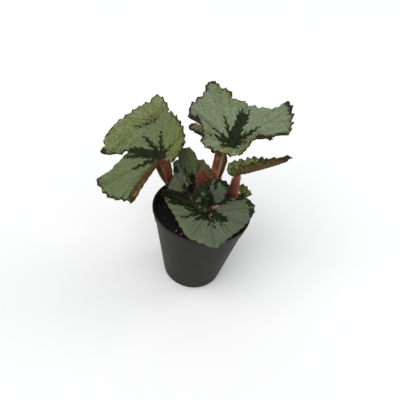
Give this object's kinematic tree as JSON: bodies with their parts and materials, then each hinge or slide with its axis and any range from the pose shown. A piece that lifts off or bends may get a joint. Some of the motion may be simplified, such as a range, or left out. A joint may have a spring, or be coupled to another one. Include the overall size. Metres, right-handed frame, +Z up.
{
  "type": "potted rex begonia",
  "caption": "Young rex begonia with frilled, toothed silver and green leaves on bristly red stalks, growing in a small round tapered plastic nursery pot of dark soil.",
  "frame": {"origin": "centre of the pot's base, on the surface that the pot stands on", "axes": "+Z up along the pot's axis, -Y towards the viewer of the plant's front, +X to the viewer's right"},
  "size_m": [0.1167, 0.085, 0.1168],
  "materials": {
    "pot": "matt, lightly scuffed",
    "soil": "damp peat crumbs",
    "rhizome": "scaly, semi-matt",
    "bud": "bristly, semi-matt",
    "blade_silver": "finely blistered, soft sheen",
    "blade_green": "finely blistered, soft sheen",
    "blade_red_backed": "finely bristled, semi-matt",
    "stalk_red": "bristly, soft sheen",
    "stalk_olive": "bristly, soft sheen"
  },
  "bodies": {
    "root": {"pot": "pot", "soil": "soil", "rhizome": "rhizome", "leaf_bud": "bud", "blade_top": "blade_silver", "stalk_top": "stalk_red", "blade_behind_top": "blade_green", "stalk_behind_top": "stalk_olive", "blade_left_front": "blade_silver", "stalk_left_front": "stalk_red", "blade_left_back": "blade_green", "stalk_left_back": "stalk_olive", "blade_front": "blade_silver", "stalk_front": "stalk_red", "blade_right_folded": "blade_red_backed", "stalk_right_folded": "stalk_red", "blade_back_middle": "blade_green", "stalk_back_middle": "stalk_red", "blade_back_left": "blade_silver", "stalk_back_left": "stalk_red", "blade_centre_right": "blade_silver", "stalk_centre_right": "stalk_red", "blade_centre_left": "blade_silver", "stalk_centre_left": "stalk_red", "blade_right_small": "blade_green", "stalk_right_small": "stalk_red"}
  },
  "joints": []
}
